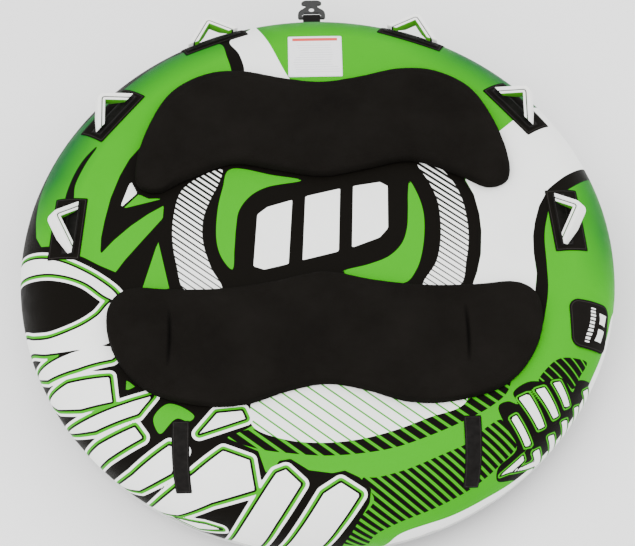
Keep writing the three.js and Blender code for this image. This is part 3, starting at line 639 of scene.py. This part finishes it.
def make_base_cover():
    count = 150
    full = reach_at(90 - (90 + SEAM_ANGLE))
    x, y = (full * v for v in disc_grid(count))
    reach, azimuth = np.hypot(x, y), np.arctan2(y, x)
    lift = gathers(azimuth, full - reach) * np.clip((reach - 0.76) / 0.05, 0, 1)
    lift -= 0.003 * np.clip((reach - full + 0.006) / 0.006, 0, 1)
    points = on_cover(x, y, lift)
    points[:, 2] = DECK_HEIGHT - points[:, 2]
    faces = [tuple(reversed(face)) for face in grid_faces(count, count)]
    base = mesh_object("base_cover_panel", points, faces)
    flat_map(base, x, y, 2 * full * 1.004)
    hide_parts("cover_bottom")
    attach(dress(base, "base"), "tube")


def make_welt():
    """The piped cord in the seam, pressed a little unevenly between the two panels."""
    around, section = 540, 10
    angle = math.radians(SEAM_ANGLE)
    radius = RING_CENTRE + RING_RADIUS * math.cos(angle)
    height = RING_RADIUS + RING_RADIUS * math.sin(angle)
    points, faces = [], []
    for k in range(around):
        azimuth = 2 * math.pi * k / around
        tuck = float(gathers(np.float64(azimuth), 0.02)) * 0.6
        for s in range(section):
            turn = 2 * math.pi * s / section
            thick = 0.0038 * (1 + 0.04 * math.sin(90 * azimuth + turn))
            out = radius + tuck * math.cos(angle) + thick * math.cos(turn)
            points.append((out * math.cos(azimuth), out * math.sin(azimuth), height + thick * math.sin(turn)))
            a, b = k * section + s, k * section + (s + 1) % section
            c, d = (k + 1) % around * section + (s + 1) % section, (k + 1) % around * section + s
            faces.append((a, d, c, b))
    welt = mesh_object("seam_piping", points, faces)
    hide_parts("seam_welt")
    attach(dress(welt, "welt"), "tube")


# ---------------------------------------------------------------- flat sewn pieces
def patch(name, node, paint, centre, turn, depth, width, thick, lift=SEWN_LIFT, corner=0.004, rise=None,
          body="tube", cell=0.007):
    """A thin piece sewn to the cover, with rounded corners and a soft rolled edge."""
    columns, rows = max(4, math.ceil(depth / cell)), max(4, math.ceil(width / cell))
    a, b = np.meshgrid(np.linspace(-1, 1, columns + 1), np.linspace(-1, 1, rows + 1))
    a, b = a.ravel() * depth / 2, b.ravel() * width / 2
    over_a, over_b = np.abs(a) - (depth / 2 - corner), np.abs(b) - (width / 2 - corner)
    in_corner = (over_a > 0) & (over_b > 0)
    # corner points draw in to a round
    far = np.maximum(np.hypot(over_a, over_b), 1e-9)
    limit = np.where(in_corner, np.maximum(over_a, over_b) / far, 1)
    a = np.where(in_corner, np.sign(a) * (depth / 2 - corner + over_a * limit), a)
    b = np.where(in_corner, np.sign(b) * (width / 2 - corner + over_b * limit), b)
    qa, qb = np.abs(a) - (depth / 2 - corner), np.abs(b) - (width / 2 - corner)
    edge = np.hypot(np.maximum(qa, 0), np.maximum(qb, 0)) + np.minimum(np.maximum(qa, qb), 0) - corner
    ca, sa = math.cos(math.radians(turn)), math.sin(math.radians(turn))
    x, y = centre[0] + ca * a - sa * b, centre[1] + sa * a + ca * b
    up = lift + (rise(b, a) if rise else 0)
    rolled = thick * (1 - 0.45 * np.clip(1 + edge / 0.003, 0, 1) ** 2)
    low, high = on_cover(x, y, up), on_cover(x, y, up + rolled)
    count = len(a)
    faces = [tuple(reversed(face)) for face in grid_faces(columns, rows)]
    faces += [tuple(v + count for v in face) for face in grid_faces(columns, rows)]
    line = lambda fixed, moving, along: [fixed + moving * k for k in range(along + 1)]
    rim = line(0, 1, columns) + line(columns, columns + 1, rows)[1:]
    rim += line((rows + 1) * (columns + 1) - 1, -1, columns)[1:]
    rim += line(rows * (columns + 1), -columns - 1, rows)[1:-1]
    faces += [(p, q, q + count, p + count) for p, q in zip(rim, rim[1:] + rim[:1])]
    piece = mesh_object(name, np.vstack([low, high]), faces)
    give(piece, "local", np.tile(np.stack([a, b, 0 * a], -1), (2, 1)))
    give(piece, "edge", np.tile(edge, 2))
    give(piece, "run", np.tile(np.where(np.abs(over_a) * width < np.abs(over_b) * depth, b, a), 2))
    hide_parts(node)
    dress(piece, paint)
    if body:
        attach(piece, body)
    return piece


def make_patches():
    for row, (azimuth, reach) in HANDLES.items():
        for side, at in (("right", azimuth), ("left", 180 - azimuth)):
            patch(f"{row}_{side}_guard_patch", f"{row}_{side}_guard", "guard", polar(reach, at), at,
                  GUARD_DEPTH, GUARD_WIDTH, GUARD_THICK, corner=0.003)
            patch(f"{row}_{side}_web_patch", f"{row}_{side}_base_web", "webbing",
                  polar(reach - HANDLE_INSET, at), at, BASE_WEB_DEPTH, BASE_WEB_WIDTH, WEB_THICK,
                  lift=SEWN_LIFT + GUARD_THICK + 0.0005, corner=0.0015)
    for side, x in (("right", STRAP_SHIFT + STRAP_SPREAD), ("left", STRAP_SHIFT - STRAP_SPREAD)):
        patch(f"rear_web_{side}", f"rear_strap_{side}", "webbing", (x, -0.693), -90, 0.209, 0.050, WEB_THICK,
              corner=0.002)
    patch("sewn_label", "care_label", "label", LABEL_PLACE, 90, 0.162, 0.172, 0.0005, corner=0.003,
          cell=0.005)
    for name, high, low in (("upper", 27, 2), ("lower", -2, SEAM_ANGLE + 4)):
        patch(f"tow_web_{name}_patch", f"tow_web_{name}", "webbing", (0, reach_at((high + low) / 2)), 90,
              reach_at(low) - reach_at(high), 0.058, 0.0026, corner=0.006 if name == "upper" else 0.002)


def make_flap():
    """One cloth from its sewn hem to its free edge; the cap stands under it, and hook tape holds it."""
    x, y = VALVE_PLACE
    width, thick, tape = 0.150, 0.0016, 0.0011
    hem, free = x - 0.083, x + 0.069
    middle = (hem + free) / 2
    loop_foot = SEWN_LIFT + tape + GAP
    foot = loop_foot + tape + GAP
    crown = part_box("valve_flap")[1][2] - on_cover(x, y, foot + thick)[2]
    crown = min(max(crown, 0.004), 0.007)

    def rise(across, along):
        climb = np.clip((along + middle - hem - 0.010) / 0.016, 0, 1)
        from_cap = np.hypot(across, along + middle - x)
        fade = 0.5 + 0.5 * np.cos(np.pi * np.clip((from_cap - 0.022) / 0.032, 0, 1))
        return (foot - SEWN_LIFT) * climb * climb * (3 - 2 * climb) + crown * fade

    flap = patch("valve_flap_cloth", "valve_flap", "flap", (middle, y), 0, free - hem, width, thick,
                 corner=0.030, rise=rise, body=None, cell=0.0055)
    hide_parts("flap_hem")
    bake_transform(flap)
    place = (free - 0.012, y)
    patch("hook_tape", "flap_hook_tape", "webbing", place, 0, 0.020, width - 0.030, tape, corner=0.002)
    patch("loop_tape", "flap_loop_tape", "webbing", place, 0, 0.020, width - 0.030, tape, loop_foot, 0.002,
          body="valve_flap")


# ---------------------------------------------------------------- riding pads
# Half outlines in millimetres: distance from the pad's own centreline, then distance towards the tow rope.
FRONT_PAD = [(0, 569), (110, 585), (254, 617), (362, 606), (469, 540), (537, 417), (572, 276), (563, 192),
             (503, 168), (415, 213), (276, 268), (130, 242), (0, 219)]
REAR_PAD = [(0, -118), (148, -149), (288, -169), (430, -171), (572, -166), (627, -210), (636, -292),
              (598, -404),
            (512, -499), (354, -548), (227, -546), (114, -508), (0, -486)]
# Where sewn creases pull the rear pad down: plan x, then the two ends along y.
REAR_CREASES = [(-0.437, -0.435, -0.245), (0.423, -0.435, -0.245)]


def pad_outline(half, shift):
    left = [(-x, y) for x, y in reversed(half[1:-1])]
    return curve_through([((x + shift) / 1000, y / 1000) for x, y in half + left], steps=7)


def swell(obj, cap):
    """Blows the pad's skin out a little by a cloth simulation, with its foot held to the deck."""
    rest = np.array([v.co[:] for v in obj.data.vertices])
    held = obj.vertex_groups.new(name="held")
    low = rest[:, 2].min()
    held.add([k for k in range(len(rest)) if rest[k, 2] < low + 0.006], 1.0, "REPLACE")
    cloth = obj.modifiers.new("swell", "CLOTH")
    cloth.settings.vertex_group_mass = "held"
    cloth.settings.use_pressure = True
    cloth.settings.uniform_pressure_force = 4
    cloth.settings.effector_weights.gravity = 0
    cloth.settings.quality = 3
    cloth.settings.tension_stiffness = 25
    cloth.settings.compression_stiffness = 25
    cloth.settings.bending_stiffness = 4
    cloth.point_cache.frame_start, cloth.point_cache.frame_end = 1, 14
    scene = bpy.context.scene
    for step in range(1, 15):
        scene.frame_set(step)
    shown = obj.evaluated_get(bpy.context.evaluated_depsgraph_get())
    moved = np.array([v.co[:] for v in shown.data.vertices]) - rest
    scene.frame_set(1)
    obj.modifiers.remove(cloth)
    size = np.maximum(np.linalg.norm(moved, axis=1, keepdims=True), 1e-9)
    rest += moved / size * np.minimum(size, cap)
    obj.data.vertices.foreach_set("co", rest.astype(np.float32).ravel())


def make_pad(name, half, shift, creases=()):
    outline = pad_outline(half, shift)
    foot = DECK_HEIGHT + GAP
    top = DECK_HEIGHT + GAP + PAD_HEIGHT - 0.0005
    # Layers of the outline, drawn in towards a rounded rim.
    inner = np.roll(outline, -1, 0) - np.roll(outline, 1, 0)
    inner /= np.linalg.norm(inner, axis=1, keepdims=True)
    side = np.stack([inner[:, 1], -inner[:, 0]], -1)
    if distance_to(outline, *(outline[:1] + 0.01 * side[:1]).T)[0] > 0:
        side = -side
    points, faces, count = [], [], len(outline)
    edge = 0.011
    for turn in np.radians((-75, -45, -15, 0, 20, 45, 70, 90)):
        inset = edge * (1 - math.cos(turn)) * (0.5 if turn < 0 else 1)
        if turn < 0:
            height = foot + 0.006 * (1 + math.sin(turn))
        else:
            height = top - edge * (1 - math.sin(turn))
        points += [(px + sx * inset, py + sy * inset, height) for (px, py), (sx, sy) in zip(outline, side)]
    layers = len(points) // count
    for k in range(layers - 1):
        low, high = k * count, (k + 1) * count
        faces += [(low + i, low + (i + 1) % count, high + (i + 1) % count, high + i) for i in range(count)]
    faces += [tuple(range(count))[::-1], tuple(range((layers - 1) * count, layers * count))]
    pad = mesh_object(name, points, faces)
    work = bmesh.new()
    work.from_mesh(pad.data)
    bmesh.ops.recalc_face_normals(work, faces=work.faces)
    work.to_mesh(pad.data)
    work.free()
    pad.data.remesh_voxel_size = 0.0085
    with bpy.context.temp_override(object=pad, active_object=pad, selected_objects=[pad]):
        bpy.ops.object.voxel_remesh()
    swell(pad, 0.0045)
    smooth = pad.modifiers.new("smooth", "SMOOTH")
    smooth.factor, smooth.iterations = 0.5, 4
    rounder = pad.modifiers.new("round", "SUBSURF")
    rounder.levels = rounder.render_levels = 1
    shown = pad.evaluated_get(bpy.context.evaluated_depsgraph_get())
    mesh = bpy.data.meshes.new_from_object(shown)
    pad.modifiers.clear()
    pad.data = mesh
    mesh.shade_smooth()
    co = np.array([v.co[:] for v in mesh.vertices])
    within = -distance_to(outline, co[:, 0], co[:, 1])
    on_top = np.clip((co[:, 2] - foot - 0.008) / 0.012, 0, 1)
    # A shallow crown, and a groove just inside the rim where the skin is stitched to its foam.
    co[:, 2] += on_top * 0.0018 * np.clip(within / 0.16, 0, 1)
    co[:, 2] -= on_top * 0.0013 * np.exp(-((within - 0.030) / 0.0045) ** 2)
    # A mask of painted shade along the floor of each crease, which the neoprene paint reads to darken the
    # skin there.
    painted_crease_shade = np.zeros(len(co))
    for x, low, high in creases:
        t = np.clip((co[:, 1] - low) / (high - low), 0, 1)
        length = np.clip(np.sin(math.pi * t), 0, 1) ** 0.6 * ((co[:, 1] > low) & (co[:, 1] < high))
        bow = x + 0.004 * np.sin(math.pi * t)
        co[:, 2] -= on_top * length * 0.009 * np.exp(-((co[:, 0] - bow) / 0.0042) ** 2)
        co[:, 2] -= on_top * length * 0.0022 * np.exp(-((co[:, 0] - bow) / 0.035) ** 2)
        painted_crease_shade = np.maximum(painted_crease_shade, on_top * length * np.exp(-((co[:, 0] - bow) / 0.0045) ** 2))
    give(pad, "painted_crease_shade", painted_crease_shade)
    mesh.vertices.foreach_set("co", co.astype(np.float32).ravel())
    mesh.update()
    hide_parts(name.replace("_cloth", "_skin"), name.replace("_cloth", "_core"))
    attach(dress(pad, "pad"), "tube")


# ---------------------------------------------------------------- grips and the tow loop
def softened(node, name, paint, width, body, sides=None):
    """The CAD shape with its hard edges rounded.

    sides is an axis and the paint of the faces that look along it.
    """
    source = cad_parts[node]
    work = bmesh.new()
    work.from_mesh(source.data)
    bmesh.ops.remove_doubles(work, verts=work.verts, dist=1e-6)
    bmesh.ops.dissolve_limit(work, angle_limit=math.radians(2), verts=work.verts, edges=work.edges)
    mesh = bpy.data.meshes.new(name)
    work.to_mesh(mesh)
    work.free()
    piece = bpy.data.objects.new(name, mesh)
    bpy.context.scene.collection.objects.link(piece)
    bevel = piece.modifiers.new("soft_edge", "BEVEL")
    bevel.width, bevel.segments, bevel.limit_method = width, 3, "ANGLE"
    bevel.angle_limit = math.radians(40)
    shown = piece.evaluated_get(bpy.context.evaluated_depsgraph_get())
    piece.data = bpy.data.meshes.new_from_object(shown)
    piece.modifiers.clear()
    piece.data.shade_smooth()
    piece.data.set_sharp_from_angle(angle=math.radians(50))
    dress(piece, paint)
    if sides:
        axis, side_paint = sides
        piece.data.materials.append(PAINTS[side_paint])
        for face in piece.data.polygons:
            face.material_index = int(abs(face.normal.dot(axis)) > 0.6)
    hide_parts(node)
    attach(piece, body)
    return piece


def arch_axis(reach, azimuth, lean):
    """The way across a grip's foam: the arch stands lean degrees off the cover and points outwards."""
    past, tilt = (reach - RING_CENTRE) / RING_RADIUS, math.radians(lean)
    outwards = Vector((math.cos(math.radians(azimuth)), math.sin(math.radians(azimuth)), 0))
    up = Vector((0, 0, 1))
    downhill = outwards * math.cos(past) - up * math.sin(past)
    normal = outwards * math.sin(past) + up * math.cos(past)
    return normal * math.cos(tilt) - downhill * math.sin(tilt)


def make_grips():
    for row, (azimuth, reach) in HANDLES.items():
        for side, at in (("right", azimuth), ("left", 180 - azimuth)):
            key = f"{row}_{side}"
            across = arch_axis(reach - HANDLE_INSET, at, GRIP_LEAN[row])
            for part, paint, width in (("foam", "white_foam", 0.0028), ("lining", "green_foam", 0.0018),
                                       ("core_web", "handle_web", 0.0005)):
                sides = (across, "white_foam") if part == "lining" else None
                piece = softened(f"{key}_{part}", f"{key}_{part}_grip", paint, width, f"{key}_handle", sides)
    softened("tow_webbing", "tow_loop", "handle_web", 0.0007, "tow_strap")


def paint_the_rest():
    """The pieces whose CAD shape is already right."""
    finishes = {"air_bladder": "vinyl", "valve_base": "plastic", "valve_cap": "plastic",
                "valve_cap_seal": "vinyl", "zipper_tape": "tape", "zipper_slider": "aluminium",
                "zipper_pull": "aluminium", "tow_hook": "plastic"}
    finishes |= {f"drain_grommet_{k}": "brass" for k in range(1, 5)}
    for node, paint in finishes.items():
        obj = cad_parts[node]
        if not obj.material_slots:
            obj.data.materials.append(PAINTS[paint])
        for slot in obj.material_slots:
            slot.material = PAINTS[paint]


# ---------------------------------------------------------------- floor, light and camera
def make_stage():
    paint = Paint("studio_floor", 0.8)
    tone = paint.mix(paint.noise(1.5, 2), (0.92, 0.92, 0.92, 1), (0.94, 0.94, 0.94, 1))
    half = 12
    floor = mesh_object("floor", [(-half, -half, -0.002), (half, -half, -0.002), (half, half, -0.002),
                                  (-half, half, -0.002)], [(0, 1, 2, 3)])
    floor.data.materials.append(paint.finish(tone))
    world = bpy.data.worlds.new("studio")
    bpy.context.scene.world = world
    world.use_nodes = True
    world.node_tree.nodes["Background"].inputs["Color"].default_value = (1, 1, 1, 1)
    world.node_tree.nodes["Background"].inputs["Strength"].default_value = 1.85
    for name, place, power, size in (("key", (-1.8, -1.6, 3.6), 135, 3.0),
                                     ("fill", (2.6, 0.8, 3.0), 66, 3.0)):
        light = bpy.data.lights.new(name, "AREA")
        light.energy, light.size = power, size
        lamp = bpy.data.objects.new(name, light)
        lamp.location = place
        lamp.rotation_euler = (Vector((0, 0, 0.2)) - lamp.location).to_track_quat("-Z", "Y").to_euler()
        bpy.context.scene.collection.objects.link(lamp)
    lens = bpy.data.cameras.new("camera")
    lens.lens, lens.sensor_width, lens.sensor_fit = 97.58, 36, "HORIZONTAL"
    lens.shift_x, lens.shift_y = -0.00025, -0.0065
    camera = bpy.data.objects.new("camera", lens)
    aim = Vector((0, 0, RING_RADIUS))
    elevation, azimuth, distance = math.radians(60), math.radians(-1.2), 5.3
    camera.location = aim + distance * Vector((math.cos(elevation) * math.sin(azimuth),
                                               -math.cos(elevation) * math.cos(azimuth), math.sin(elevation)))
    camera.rotation_euler = (aim - camera.location).to_track_quat("-Z", "Y").to_euler()
    bpy.context.scene.collection.objects.link(camera)
    bpy.context.scene.camera = camera


make_stage()
make_cover()
make_base_cover()
make_welt()
make_patches()
make_flap()
make_pad("front_pad_cloth", FRONT_PAD, 20)
make_pad("rear_pad_cloth", REAR_PAD, 15, REAR_CREASES)
make_grips()
paint_the_rest()
